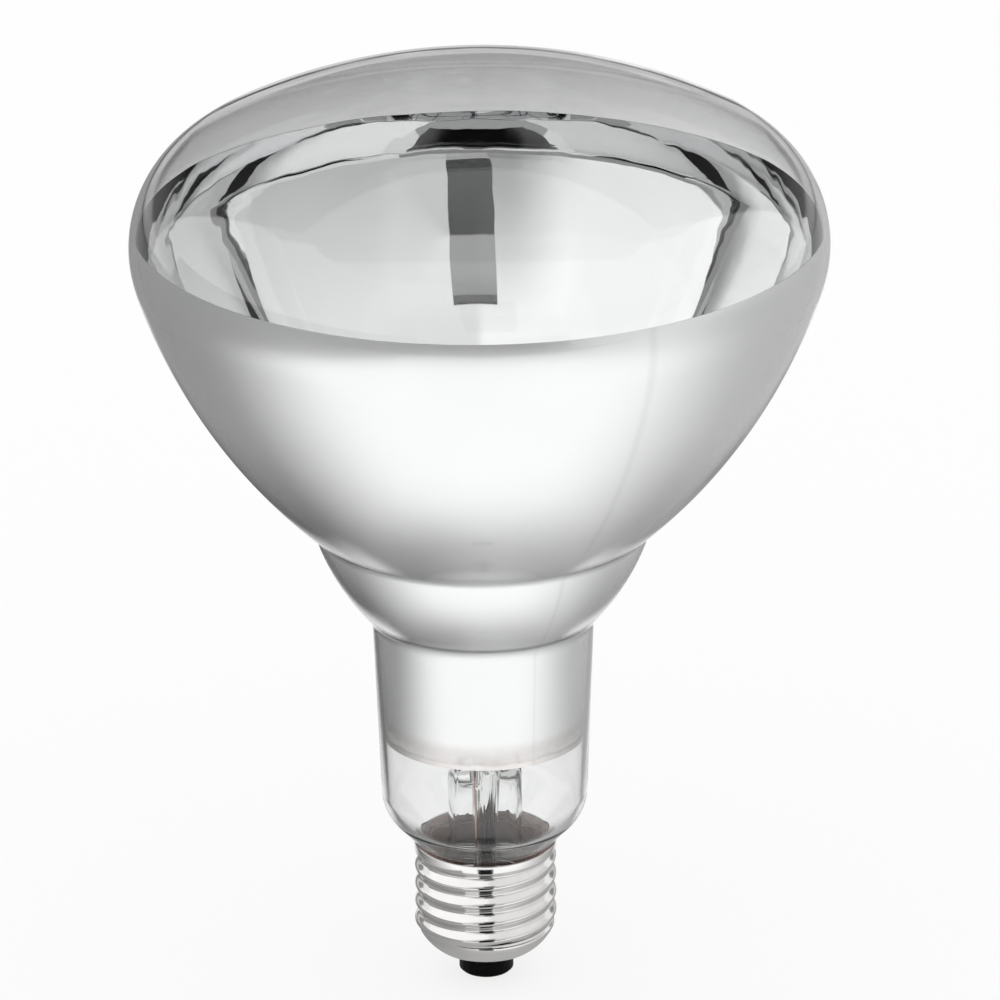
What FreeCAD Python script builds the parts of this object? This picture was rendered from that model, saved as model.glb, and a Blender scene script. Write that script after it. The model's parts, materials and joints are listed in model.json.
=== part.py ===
import FreeCAD, Part
import Sketcher
import math
import os
from types import SimpleNamespace

# Reflector heat lamp with a screw cap, dome upwards, origin at the foot of the centre contact.
# Millimetres. Heights are measured from that foot, radii from the lamp's axis.

sizes = {
    # screw cap
    "cap_height": 27.7,
    "collar_height": 1.4,
    "collar_overhang_width": 0.05,
    "thread_radius": 13.15,
    "thread_depth": 1.1,
    "thread_pitch": 3.629,
    "thread_round_radius": 1.025,
    "thread_start_height": 10.1,
    "thread_angle": 55,
    "land_lift_height": 0.08,
    "shell_wall_thickness": 0.3,
    "turn_inset_depth": 0.4,
    "turn_height": 10.5,
    "turn_rise_height": 1,
    "foot_curve_radius": 9,
    "lip_radius": 8,
    "lip_height": 5.5,
    # black glass insulator, contact plate, solder and basing cement
    "nub_radius": 5.05,
    "nub_height": 4.5,
    "nub_chamfer_width": 0.4,
    "wire_hole_radius": 0.9,
    "plate_radius": 3.4,
    "plate_thickness": 0.4,
    "plate_edge_radius": 0.25,
    "solder_radius": 2.2,
    "solder_flat_radius": 1.6,
    "solder_height": 0.4,
    "cement_thickness": 0.83,
    "cement_foot_height": 1,
    "cement_recess_depth": 0.3,
    # blown bulb, from its seat in the cap upwards
    "seat_depth": 1.75,
    "seat_length": 6.05,
    "shoulder_radius": 8,
    "shoulder_angle": 48,
    "neck_low_radius": 19,
    "neck_top_radius": 20.2,
    "neck_length": 35,
    "bulge_radius": 43,
    "bulge_height": 18.4,
    "bowl_depth": 53.8,
    "reflector_radius": 108,
    "rim_drop_height": 6.2,
    "rim_radius": 20.5,
    "bulb_radius": 62.5,
    "dome_radius": 111,
    "glass_wall_thickness": 1.2,
    "step_fillet_radius": 3,
    "neck_fillet_radius": 3,
    # mirror layer inside the bulb
    "mirror_rise_height": 4,
    "mirror_foot_height": 11.9,
    "mirror_gap_width": 0.05,
    "mirror_thickness": 0.1,
    # glass stem that closes the neck
    "stem_radius": 6.8,
    "stem_bore_radius": 5.8,
    "stem_tube_length": 8,
    "flare_lip_height": 1.2,
    "flare_height": 12,
    "flare_curve_radius": 14,
    "press_height": 14,
    "press_slope_height": 6,
    "press_thickness": 4.4,
    # exhaust tube, sealed off below
    "exhaust_radius": 2.2,
    "exhaust_bore_radius": 1.4,
    "exhaust_tail_length": 4,
    "exhaust_taper_length": 3,
    "exhaust_depth": 3,
    # filament ring, its hooks and the glass post and button that carry them
    "ring_radius": 12,
    "ring_height": 95.9,
    "ring_gap_width": 11,
    "coil_radius": 0.55,
    "hook_wire_radius": 0.2,
    "hook_bend_radius": 3,
    "hook_root_radius": 1,
    "hook_drop_height": 9,
    "hook_count": 5,
    "post_radius": 1.5,
    "post_depth": 5,
    "button_radius": 3,
    "button_thickness": 4,
    "button_edge_radius": 1.2,
    # current leads
    "lead_offset_width": 3.6,
    "inner_lead_radius": 0.4,
    "inner_lead_depth": 4,
    "seal_wire_radius": 0.3,
    "outer_lead_radius": 0.15,
    "outer_lead_depth": 2,
    "lead_stand_length": 10,
    "lead_end_length": 4.43,
    "lead_bend_radius": 4,
    "outer_bend_radius": 1.5,
    "side_run_depth": 2,
    "side_end_depth": 0.4,
    "centre_run_depth": 1.5,
    "centre_slope_height": 3.5,
    # turn of the stem about the axis, and the clearance of every fit
    "mount_angle": 242,
    "fit_clearance": 0.02,
}

doc = FreeCAD.newDocument("heat_lamp")
sheet = doc.addObject("Spreadsheet::Sheet", "Sizes")
for row, (alias, number) in enumerate(sizes.items(), start=1):
    sheet.set(f"A{row}", alias)
    sheet.set(f"B{row}", str(number))
    sheet.setAlias(f"B{row}", alias)
doc.recompute()


class Size:
    """A length together with the sheet expression that it stands for."""

    def __init__(self, value, text):
        self.value = float(value)
        self.text = text

    def __add__(self, other):
        return combine(self, "+", other, self.value + as_size(other).value)

    def __sub__(self, other):
        return combine(self, "-", other, self.value - as_size(other).value)

    def __mul__(self, other):
        return combine(self, "*", other, self.value * as_size(other).value)

    def __truediv__(self, other):
        return combine(self, "/", other, self.value / as_size(other).value)

    def __radd__(self, other):
        return as_size(other) + self

    def __rsub__(self, other):
        return as_size(other) - self

    def __rmul__(self, other):
        return as_size(other) * self


def as_size(number):
    if isinstance(number, Size):
        return number
    return Size(number, repr(number))


def combine(left, sign, right, value):
    return Size(value, f"({left.text} {sign} {as_size(right).text})")


def root(size):
    return Size(math.sqrt(size.value), f"sqrt({size.text})")


def sine(angle):
    return Size(math.sin(math.radians(angle.value)), f"sin({angle.text} * 1 deg)")


def cosine(angle):
    return Size(math.cos(math.radians(angle.value)), f"cos({angle.text} * 1 deg)")


def arc_sine(ratio):
    return Size(math.degrees(math.asin(ratio.value)), f"(asin({ratio.text}) / 1 deg)")


s = SimpleNamespace(**{alias: Size(sheet.get(alias), f"Sizes.{alias}") for alias in sizes})


def bind(thing, name, size):
    thing.setExpression(name, size.text)


# Radii and heights that follow from the sizes

thread_root = s.thread_radius - s.thread_depth
land_radius = thread_root + s.land_lift_height
shell_bore = land_radius - s.shell_wall_thickness
collar_radius = s.thread_radius + s.collar_overhang_width
collar_bore = collar_radius - s.shell_wall_thickness
collar_low = s.cap_height - s.collar_height
land_top = collar_low - (collar_radius - land_radius)
turn_radius = s.thread_radius - s.turn_inset_depth
turn_corner = (turn_radius, s.turn_height)
lip_corner = (s.lip_radius, s.lip_height)

seat_radius = shell_bore - s.cement_thickness
seat_top = s.cap_height - s.seat_depth
glass_foot = seat_top - s.seat_length
shoulder_x = s.neck_low_radius - s.shoulder_radius
shoulder_run = s.shoulder_radius * sine(s.shoulder_angle)
shoulder_drop = s.shoulder_radius * cosine(s.shoulder_angle)
cone_slope = shoulder_run / shoulder_drop
neck_low_height = seat_top + (shoulder_x + shoulder_run - seat_radius) * cone_slope + shoulder_drop
neck_top_height = neck_low_height + s.neck_length
step_height = neck_top_height + s.bulge_height
rim_height = step_height + s.bowl_depth
rim_x = s.bulb_radius - s.rim_radius
rim_lean = s.rim_drop_height / s.rim_radius
rim_level = root(1 - rim_lean * rim_lean)
dome_reach = s.dome_radius - s.rim_radius
dome_z = rim_height - root(dome_reach * dome_reach - rim_x * rim_x)
step_lift = 0.55     # rise of the step's crease for each millimetre inwards
neck_lift = 0.41     # the same for the crease at the neck
mirror_top = rim_height + s.mirror_rise_height
mirror_low = neck_low_height + s.mirror_foot_height
cement_low = glass_foot + s.cement_foot_height
cement_top = s.cap_height - s.cement_recess_depth

flare_radius = seat_radius - s.glass_wall_thickness - s.fit_clearance
tube_wall = s.stem_radius - s.stem_bore_radius
flare_top = glass_foot + s.flare_height
stem_bore_top = flare_top + s.stem_tube_length
press_shoulder = stem_bore_top + s.press_slope_height
press_top = stem_bore_top + s.press_height
seal_low = stem_bore_top + s.outer_lead_depth
seal_top = press_top - s.inner_lead_depth
exhaust_tip = glass_foot - s.exhaust_tail_length

hook_count = round(s.hook_count.value)
hook_turn = 360 / (hook_count + 1)     # the ring's gap takes the place of one more hook
hook_level = s.ring_height - s.hook_drop_height
hook_radius = s.coil_radius + s.hook_wire_radius + s.fit_clearance
hook_past = hook_radius * 0.8     # how far a hook's end reaches inwards over the coil
button_low = hook_level - s.button_thickness / 2
gap_heading = s.mount_angle - 90
first_hook = gap_heading + hook_turn
gap_side = s.ring_gap_width / 2
gap_reach = root(s.ring_radius * s.ring_radius - gap_side * gap_side)
lead_top = s.ring_height - s.coil_radius - s.fit_clearance


# Bodies, sketches and the features that the pieces share

def new_body(label):
    body = doc.addObject("PartDesign::Body", label)
    body.Label = label
    return body


def new_sketch(body, name, plane, offset=None):
    sketch = body.newObject("Sketcher::SketchObject", name)
    origin = next(o for o in body.Origin.OriginFeatures if o.Role == plane)
    sketch.AttachmentSupport = (origin, [""])
    sketch.MapMode = "FlatFace"
    if offset is not None:
        sketch.AttachmentOffset.Base.z = offset.value
        bind(sketch, "AttachmentOffset.Base.z", offset)
    return sketch


def constrain(sketch, kind, *where, size):
    number = sketch.addConstraint(Sketcher.Constraint(kind, *where, size.value))
    bind(sketch, f"Constraints[{number}]", size)


def place_point(sketch, edge, end, x, y):
    """Pins one end of an edge: on an axis where a coordinate is plain zero, else at a bound distance."""
    if isinstance(x, Size):
        constrain(sketch, "DistanceX", -1, 1, edge, end, size=x)
    else:
        sketch.addConstraint(Sketcher.Constraint("PointOnObject", edge, end, -2))
    if isinstance(y, Size):
        constrain(sketch, "DistanceY", -1, 1, edge, end, size=y)
    else:
        sketch.addConstraint(Sketcher.Constraint("PointOnObject", edge, end, -1))


def vector(x, y):
    return FreeCAD.Vector(as_size(x).value, as_size(y).value, 0)


def add_edge(sketch, start, end, bow):
    """Adds a line, or an arc with a bow of (radius, side), where side 1 is to the left of its run."""
    if bow is None:
        return sketch.addGeometry(Part.LineSegment(start, end), False), 1, 2
    radius, side = bow
    run = end - start
    across = FreeCAD.Vector(-run.y, run.x, 0).normalize()
    stand = math.sqrt(radius.value ** 2 - run.Length ** 2 / 4)
    centre = (start + end) / 2 - across * stand * side
    first, last = (end, start) if side > 0 else (start, end)
    angles = [math.atan2(point.y - centre.y, point.x - centre.x) for point in (first, last)]
    circle = Part.Circle(centre, FreeCAD.Vector(0, 0, 1), radius.value)
    edge = sketch.addGeometry(Part.ArcOfCircle(circle, *angles), False)
    constrain(sketch, "Radius", edge, size=radius)
    return (edge, 2, 1) if side > 0 else (edge, 1, 2)


def draw(sketch, corners, closed=True):
    """Draws corners of (x, y, bow of the edge that leaves it) as one pinned chain of lines and arcs."""
    followers = corners[1:] + corners[:1] if closed else corners[1:]
    chain = []
    for here, there in zip(corners, followers):
        chain.append(add_edge(sketch, vector(*here[:2]), vector(*there[:2]), here[2]))
    for (edge, first, last), here in zip(chain, corners):
        place_point(sketch, edge, first, here[0], here[1])
    for (edge, first, last), (following, start, end) in zip(chain, chain[1:]):
        sketch.addConstraint(Sketcher.Constraint("Coincident", edge, last, following, start))
    closing, first, last = chain[-1]
    if closed:
        opening, start, end = chain[0]
        sketch.addConstraint(Sketcher.Constraint("Coincident", closing, last, opening, start))
    else:
        place_point(sketch, closing, last, corners[-1][0], corners[-1][1])


def draw_circle(sketch, x, y, radius):
    edge = sketch.addGeometry(Part.Circle(vector(x, y), FreeCAD.Vector(0, 0, 1), radius.value), False)
    constrain(sketch, "Radius", edge, size=radius)
    place_point(sketch, edge, 3, x, y)


def revolve(body, corners, kind="Revolution"):
    """Turns a closed section about the lamp's axis, as a solid or, with kind Groove, as a hollow."""
    sketch = new_sketch(body, f"{body.Label}_{kind}_section", "XZ_Plane")
    draw(sketch, corners)
    turned = body.newObject(f"PartDesign::{kind}", f"{body.Label}_{kind}")
    turned.Profile = sketch
    turned.ReferenceAxis = (sketch, ["V_Axis"])
    turned.Angle = 360
    doc.recompute()
    return turned


def fillet_ring(body, base, points, size):
    """Rounds the circular edges of a turned piece that pass through the given section points."""
    def is_ring(edge):
        if edge.Degenerated or not isinstance(edge.Curve, Part.Circle):
            return False
        ring = FreeCAD.Vector(edge.Curve.Radius, edge.Curve.Center.z, 0)
        return any((ring - vector(*point)).Length < 1e-4 for point in points)
    names = [f"Edge{i}" for i, edge in enumerate(base.Shape.Edges, start=1) if is_ring(edge)]
    rounded = body.newObject("PartDesign::Fillet", f"{body.Label}_rounding")
    rounded.Base = (base, names)
    rounded.Radius = size.value
    bind(rounded, "Radius", size)
    doc.recompute()
    return rounded


def cut_away(body, sketch, length=None, midplane=False, reverse=False):
    """Pockets a sketch and makes sure that the cut has taken material off."""
    before = body.Shape.Volume
    pocket = body.newObject("PartDesign::Pocket", f"{sketch.Label}_cut")
    pocket.Profile = sketch
    pocket.Midplane = midplane
    pocket.Reversed = reverse
    if length is None:
        pocket.Type = "ThroughAll"
    else:
        pocket.Length = length.value
        bind(pocket, "Length", length)
    doc.recompute()
    if body.Shape.Volume >= before:
        raise RuntimeError(f"{pocket.Label} cuts nothing")
    return pocket


def turn(piece, angle, **base):
    """Turns a piece about the lamp's axis and sets its place, all bound to the sheet."""
    for coordinate, place in base.items():
        bind(piece, f"Placement.Base.{coordinate}", place)
    bind(piece, "Placement.Rotation.Angle", angle)
    doc.recompute()


def rounded_path(points, bend):
    """Turns a bent wire's points into path corners, each inner point an arc of the bend radius."""
    corners = [(*points[0], None)]
    for before, here, after in zip(points, points[1:], points[2:]):
        into = unit(before, here)
        out = unit(here, after)
        turning = into[0] * out[0] + into[1] * out[1]
        reach = bend * root((1 - turning) / (1 + turning))
        side = into[0].value * out[1].value - into[1].value * out[0].value
        corners.append((*moved(here, into, 0 - reach), (bend, -math.copysign(1, side))))
        corners.append((*moved(here, out, reach), None))
    corners.append((*points[-1], None))
    return corners


def unit(start, end):
    run = (as_size(end[0]) - start[0], as_size(end[1]) - start[1])
    length = root(run[0] * run[0] + run[1] * run[1])
    return run[0] / length, run[1] / length


def moved(point, direction, reach):
    """A point moved along a direction, with plain zero where it stays on an axis."""
    x = point[0] + direction[0] * reach
    y = point[1] + direction[1] * reach
    return x if x.value else 0, y if y.value else 0


def sweep_wire(body, corners, radius, level):
    """Sweeps a round wire along a path in the body's XZ plane: upright where level is False."""
    path = new_sketch(body, f"{body.Label}_path", "XZ_Plane")
    draw(path, corners, closed=False)
    x, z = corners[0][:2]
    if level:
        section = new_sketch(body, f"{body.Label}_round", "YZ_Plane", x)
        draw_circle(section, 0, z, radius)
    else:
        section = new_sketch(body, f"{body.Label}_round", "XY_Plane", z)
        draw_circle(section, x, 0, radius)
    doc.recompute()
    pipe = body.newObject("PartDesign::AdditivePipe", f"{body.Label}_wire")
    pipe.Profile = section
    pipe.Spine = (path, [f"Edge{i}" for i in range(1, len(path.Shape.Edges) + 1)])
    doc.recompute()


# The blown bulb and the mirror layer that lines it

def rim_point(inset, height):
    reach = s.rim_radius - inset
    rise = height - rim_height
    return rim_x + root(reach * reach - rise * rise), height


def neck_point(inset, height):
    """A point of the neck's straight taper."""
    run = (height - neck_low_height) / (neck_top_height + inset * neck_lift - neck_low_height)
    return s.neck_low_radius - inset + (s.neck_top_radius - s.neck_low_radius) * run, height


def bulb_line(inset):
    """Section points of the bulb, moved in from its outside by an inset."""
    line = SimpleNamespace()
    dome_share = (s.dome_radius - inset) / dome_reach
    line.apex = (0, dome_z + s.dome_radius - inset)
    line.dome_end = (rim_x * dome_share, dome_z + (rim_height - dome_z) * dome_share)
    rim_reach = s.rim_radius - inset
    line.rim_end = (rim_x + rim_reach * rim_level, rim_height - rim_reach * rim_lean)
    reflector_x = rim_x - (s.reflector_radius - s.rim_radius) * rim_level
    reflector_z = rim_height + (s.reflector_radius - s.rim_radius) * rim_lean
    step_z = step_height + inset * step_lift
    reach = s.reflector_radius - inset
    fall = reflector_z - step_z
    line.step = (reflector_x + root(reach * reach - fall * fall), step_z)
    line.neck_top = (s.neck_top_radius - inset, neck_top_height + inset * neck_lift)
    line.neck_low = (s.neck_low_radius - inset, neck_low_height)
    share = (s.shoulder_radius - inset) / s.shoulder_radius
    line.shoulder_end = (shoulder_x + shoulder_run * share, neck_low_height - shoulder_drop * share)
    seat_lift = inset * (s.shoulder_radius - shoulder_run) / shoulder_drop
    line.seat_top = (seat_radius - inset, seat_top + seat_lift)
    line.foot = (seat_radius - inset, glass_foot)
    line.bows = {
        "dome": s.dome_radius - inset,
        "rim": s.rim_radius - inset,
        "reflector": s.reflector_radius - inset,
        "bulge": s.bulge_radius - inset,
        "shoulder": s.shoulder_radius - inset,
    }
    return line


def glass_envelope():
    body = new_body("glass_envelope")
    outside = bulb_line(as_size(0))
    inside = bulb_line(s.glass_wall_thickness)
    out = outside.bows
    inn = inside.bows
    turned = revolve(body, [
        (*outside.apex, (out["dome"], 1)),
        (*outside.dome_end, (out["rim"], 1)),
        (*outside.rim_end, (out["reflector"], 1)),
        (*outside.step, (out["bulge"], 1)),
        (*outside.neck_top, None),
        (*outside.neck_low, (out["shoulder"], 1)),
        (*outside.shoulder_end, None),
        (*outside.seat_top, None),
        (*outside.foot, None),
        (*inside.foot, None),
        (*inside.seat_top, None),
        (*inside.shoulder_end, (inn["shoulder"], -1)),
        (*inside.neck_low, None),
        (*inside.neck_top, (inn["bulge"], -1)),
        (*inside.step, (inn["reflector"], -1)),
        (*inside.rim_end, (inn["rim"], -1)),
        (*inside.dome_end, (inn["dome"], -1)),
        (*inside.apex, None),
    ])
    step = fillet_ring(body, turned, [outside.step], s.step_fillet_radius)
    neck = fillet_ring(body, step, [outside.neck_top], s.neck_fillet_radius)
    inner_step = fillet_ring(body, neck, [inside.step], s.step_fillet_radius + s.glass_wall_thickness)
    fillet_ring(body, inner_step, [inside.neck_top], s.neck_fillet_radius + s.glass_wall_thickness)
    return body


def mirror_coating():
    body = new_body("mirror_coating")
    outer_inset = s.glass_wall_thickness + s.mirror_gap_width
    inner_inset = outer_inset + s.mirror_thickness
    outside = bulb_line(outer_inset)
    inside = bulb_line(inner_inset)
    turned = revolve(body, [
        (*rim_point(outer_inset, mirror_top), (outside.bows["rim"], 1)),
        (*outside.rim_end, (outside.bows["reflector"], 1)),
        (*outside.step, (outside.bows["bulge"], 1)),
        (*outside.neck_top, None),
        (*neck_point(outer_inset, mirror_low), None),
        (*neck_point(inner_inset, mirror_low), None),
        (*inside.neck_top, (inside.bows["bulge"], -1)),
        (*inside.step, (inside.bows["reflector"], -1)),
        (*inside.rim_end, (inside.bows["rim"], -1)),
        (*rim_point(inner_inset, mirror_top), None),
    ])
    step = fillet_ring(body, turned, [outside.step], s.step_fillet_radius + outer_inset)
    neck = fillet_ring(body, step, [outside.neck_top], s.neck_fillet_radius + outer_inset)
    inner_step = fillet_ring(body, neck, [inside.step], s.step_fillet_radius + inner_inset)
    fillet_ring(body, inner_step, [inside.neck_top], s.neck_fillet_radius + inner_inset)
    return body


# The glass stem and what is sealed into it

def stem():
    body = new_body("stem")
    revolve(body, [
        (flare_radius - tube_wall, glass_foot, None),
        (flare_radius, glass_foot, None),
        (flare_radius, glass_foot + s.flare_lip_height, (s.flare_curve_radius, 1)),
        (s.stem_radius, flare_top, None),
        (s.stem_radius, press_top, None),
        (0, press_top, None),
        (0, stem_bore_top, None),
        (s.stem_bore_radius, stem_bore_top, None),
        (s.stem_bore_radius, flare_top, (s.flare_curve_radius + tube_wall, -1)),
    ])
    pinch = new_sketch(body, "pinch", "YZ_Plane")
    half = s.press_thickness / 2
    for sign in (1, -1):
        draw(pinch, [
            (half * sign, press_top, None),
            (half * sign, press_shoulder, None),
            (s.stem_radius * sign, stem_bore_top, None),
            (s.stem_radius * sign, press_top, None),
        ])
    cut_away(body, pinch, s.stem_radius * 2, midplane=True)
    drill(body, "inner_lead_hole", press_top, s.inner_lead_radius, s.inner_lead_depth)
    drill(body, "seal_hole", seal_top, s.seal_wire_radius, seal_top - seal_low)
    drill(body, "outer_lead_hole", seal_low, s.outer_lead_radius, s.outer_lead_depth)
    post_hole = new_sketch(body, "post_hole", "XY_Plane", press_top)
    draw_circle(post_hole, 0, 0, s.post_radius + s.fit_clearance)
    cut_away(body, post_hole, s.post_depth)
    exhaust_hole = new_sketch(body, "exhaust_hole", "XY_Plane", stem_bore_top)
    draw_circle(exhaust_hole, 0, 0, s.exhaust_radius + s.fit_clearance)
    cut_away(body, exhaust_hole, s.exhaust_depth, reverse=True)
    turn(body, s.mount_angle)
    return body


def drill(body, name, top, wire_radius, depth):
    """Two holes down from a height, one for each lead."""
    holes = new_sketch(body, name, "XY_Plane", top)
    for sign in (1, -1):
        draw_circle(holes, s.lead_offset_width * sign, 0, wire_radius + s.fit_clearance)
    cut_away(body, holes, depth)


def exhaust_tube():
    body = new_body("exhaust_tube")
    top = stem_bore_top + s.exhaust_depth - s.fit_clearance
    wall = s.exhaust_radius - s.exhaust_bore_radius
    taper_top = exhaust_tip + s.exhaust_taper_length
    revolve(body, [
        (0, exhaust_tip, None),
        (wall / 2, exhaust_tip, (s.exhaust_taper_length * 2, -1)),
        (s.exhaust_radius, taper_top, None),
        (s.exhaust_radius, top, None),
        (s.exhaust_bore_radius, top, None),
        (s.exhaust_bore_radius, taper_top, None),
        (0, exhaust_tip + wall, None),
    ])
    return body


# The filament ring, the post and hooks that carry it, and its leads

def glass_post():
    body = new_body("glass_post")
    button_top = button_low + s.button_thickness
    revolve(body, [
        (0, press_top - s.post_depth + s.fit_clearance, None),
        (s.post_radius, press_top - s.post_depth + s.fit_clearance, None),
        (s.post_radius, button_low - s.button_edge_radius, None),
        (s.button_radius, button_low, None),
        (s.button_radius, button_top - s.button_edge_radius, (s.button_edge_radius, 1)),
        (s.button_radius - s.button_edge_radius, button_top, None),
        (0, button_top, None),
    ])
    sockets = new_sketch(body, "hook_socket", "YZ_Plane", s.hook_root_radius)
    draw_circle(sockets, 0, hook_level, s.hook_wire_radius + s.fit_clearance)
    first = cut_away(body, sockets, s.button_radius, reverse=True)
    ring = body.newObject("PartDesign::PolarPattern", "hook_sockets")
    ring.Originals = [first]
    ring.Axis = (next(o for o in body.Origin.OriginFeatures if o.Role == "Z_Axis"), [""])
    ring.Angle = hook_turn * (hook_count - 1)
    ring.Occurrences = hook_count
    body.Tip = ring
    doc.recompute()
    turn(body, first_hook)
    return body


def filament():
    coil = doc.addObject("Part::Torus", "filament")
    coil.Label = "filament"
    bind(coil, "Radius1", s.ring_radius)
    bind(coil, "Radius2", s.coil_radius)
    gap = arc_sine(gap_side / s.ring_radius)
    bind(coil, "Angle3", 360 - gap * 2)
    turn(coil, gap_heading + gap, z=s.ring_height)
    return coil


def filament_hook(number):
    body = new_body(f"filament_hook_{number + 1}")
    reach = s.ring_radius + hook_radius
    corners = rounded_path([
        (s.hook_root_radius + s.fit_clearance, hook_level),
        (reach, hook_level),
        (reach, s.ring_height),
    ], s.hook_bend_radius)
    corners[-1] = (reach, s.ring_height, (hook_radius, -1))
    end_rise = root(hook_radius * hook_radius - hook_past * hook_past)
    corners.append((s.ring_radius - hook_past, s.ring_height + end_rise, None))
    sweep_wire(body, corners, s.hook_wire_radius, level=True)
    turn(body, first_hook + number * hook_turn)
    return body


def lead_place(body, sign):
    turn(body, s.mount_angle if sign > 0 else s.mount_angle + 180)


def inner_lead(side, sign):
    """Runs up from the press and out to one end of the filament, in one upright plane."""
    body = new_body(f"inner_lead_{side}")
    aside = gap_side - s.lead_offset_width
    reach = root(aside * aside + gap_reach * gap_reach)
    corners = rounded_path([
        (0, seal_top),
        (0, press_top + s.lead_stand_length),
        (reach, lead_top - s.lead_end_length),
        (reach, lead_top),
    ], s.lead_bend_radius)
    sweep_wire(body, corners, s.inner_lead_radius, level=False)
    offset = s.lead_offset_width * sign
    turn(
        body,
        gap_heading + arc_sine(aside * sign / reach),
        x=offset * cosine(s.mount_angle),
        y=offset * sine(s.mount_angle),
    )
    return body


def seal_wire(side, sign):
    body = new_body(f"seal_wire_{side}")
    section = new_sketch(body, f"{body.Label}_round", "XY_Plane", seal_low)
    draw_circle(section, s.lead_offset_width, 0, s.seal_wire_radius)
    pad = body.newObject("PartDesign::Pad", f"{body.Label}_wire")
    pad.Profile = section
    pad.Length = (seal_top - seal_low).value
    bind(pad, "Length", seal_top - seal_low)
    lead_place(body, sign)
    return body


def outer_lead_side():
    """From the press down, under the neck's glass and up beside it to the inside of the cap's collar."""
    body = new_body("outer_lead_side")
    beside = (seat_radius + shell_bore) / 2
    below = glass_foot - s.side_run_depth
    corners = rounded_path([
        (s.lead_offset_width, seal_low),
        (s.lead_offset_width, below),
        (beside, below),
        (beside, seat_top),
        (collar_bore - s.outer_lead_radius - s.fit_clearance, s.cap_height - s.side_end_depth),
    ], s.outer_bend_radius)
    sweep_wire(body, corners, s.outer_lead_radius, level=False)
    lead_place(body, 1)
    return body


def outer_lead_centre():
    """From the press down past the exhaust tip and through the insulator to the contact plate."""
    body = new_body("outer_lead_centre")
    below = exhaust_tip - s.centre_run_depth
    corners = rounded_path([
        (s.lead_offset_width, seal_low),
        (s.lead_offset_width, below),
        (0, below - s.centre_slope_height),
        (0, s.solder_height),
    ], s.outer_bend_radius)
    sweep_wire(body, corners, s.outer_lead_radius, level=False)
    lead_place(body, -1)
    return body


# The screw cap

def foot_centre():
    """Centre of the rounding that draws the shell in towards its lip."""
    run = (turn_radius - s.lip_radius, s.turn_height - s.lip_height)
    length = root(run[0] * run[0] + run[1] * run[1])
    stand = root(s.foot_curve_radius * s.foot_curve_radius - length * length / 4)
    return (
        (turn_radius + s.lip_radius) / 2 - run[1] / length * stand,
        (s.turn_height + s.lip_height) / 2 + run[0] / length * stand,
    )


def foot_point(corner, inset):
    """A corner of the shell's foot, moved in from its outside."""
    centre = foot_centre()
    share = (s.foot_curve_radius - inset) / s.foot_curve_radius
    return centre[0] + (corner[0] - centre[0]) * share, centre[1] + (corner[1] - centre[1]) * share


def screw_shell():
    """Rolled shell: a round Edison thread wound on a turned cup, then hollowed to a thin wall."""
    body = new_body("screw_shell")
    turn_top = s.turn_height + s.turn_rise_height
    revolve(body, [
        (0, s.cap_height, None),
        (collar_radius, s.cap_height, None),
        (collar_radius, collar_low, None),
        (land_radius, land_top, None),
        (land_radius, turn_top, None),
        (*turn_corner, (s.foot_curve_radius, 1)),
        (*lip_corner, None),
        (0, s.lip_height, None),
    ])
    wind_thread(body)
    before = body.Shape.Volume
    revolve(body, [
        (0, s.lip_height, None),
        (*lip_corner, None),
        (*foot_point(lip_corner, s.shell_wall_thickness), (s.foot_curve_radius - s.shell_wall_thickness, -1)),
        (*foot_point(turn_corner, s.shell_wall_thickness), None),
        (shell_bore, turn_top, None),
        (shell_bore, land_top, None),
        (collar_bore, collar_low, None),
        (collar_bore, s.cap_height, None),
        (collar_radius + s.thread_depth, s.cap_height, None),
        (collar_radius + s.thread_depth, s.cap_height + s.thread_pitch, None),
        (0, s.cap_height + s.thread_pitch, None),
    ], "Groove")
    if body.Shape.Volume >= before:
        raise RuntimeError("the shell is not hollowed")
    turn(body, s.thread_angle)
    return body


def wind_thread(body):
    """Winds the ridge from the shell's foot up into its collar, right-handed."""
    ridge = new_sketch(body, "thread_ridge", "XZ_Plane")
    draw(ridge, ridge_section())
    doc.recompute()
    before = body.Shape.Volume
    turns = (s.cap_height - s.thread_start_height) / s.thread_pitch
    thread = body.newObject("PartDesign::AdditiveHelix", "thread")
    thread.Profile = ridge
    thread.ReferenceAxis = (ridge, ["V_Axis"])
    thread.Mode = "pitch-turns-angle"
    thread.Pitch = s.thread_pitch.value
    thread.Turns = turns.value
    thread.LeftHanded = False
    bind(thread, "Pitch", s.thread_pitch)
    bind(thread, "Turns", turns)
    doc.recompute()
    if body.Shape.Volume <= before:
        raise RuntimeError("the thread adds nothing")


def ridge_section():
    """One turn's section: a crest arc between two root arcs of the same radius."""
    crest_x = s.thread_radius - s.thread_round_radius
    root_x = thread_root + s.thread_round_radius
    half_pitch = s.thread_pitch / 2
    base_x = thread_root + s.land_lift_height / 2
    reach = root_x - base_x
    base_z = half_pitch - root(s.thread_round_radius * s.thread_round_radius - reach * reach)
    join_x = (crest_x + root_x) / 2
    join_z = half_pitch / 2
    buried = thread_root - s.thread_depth * 2
    middle = s.thread_start_height
    return [
        (buried, middle - base_z, None),
        (base_x, middle - base_z, (s.thread_round_radius, 1)),
        (join_x, middle - join_z, (s.thread_round_radius, -1)),
        (join_x, middle + join_z, (s.thread_round_radius, 1)),
        (base_x, middle + base_z, None),
        (buried, middle + base_z, None),
    ]


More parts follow.
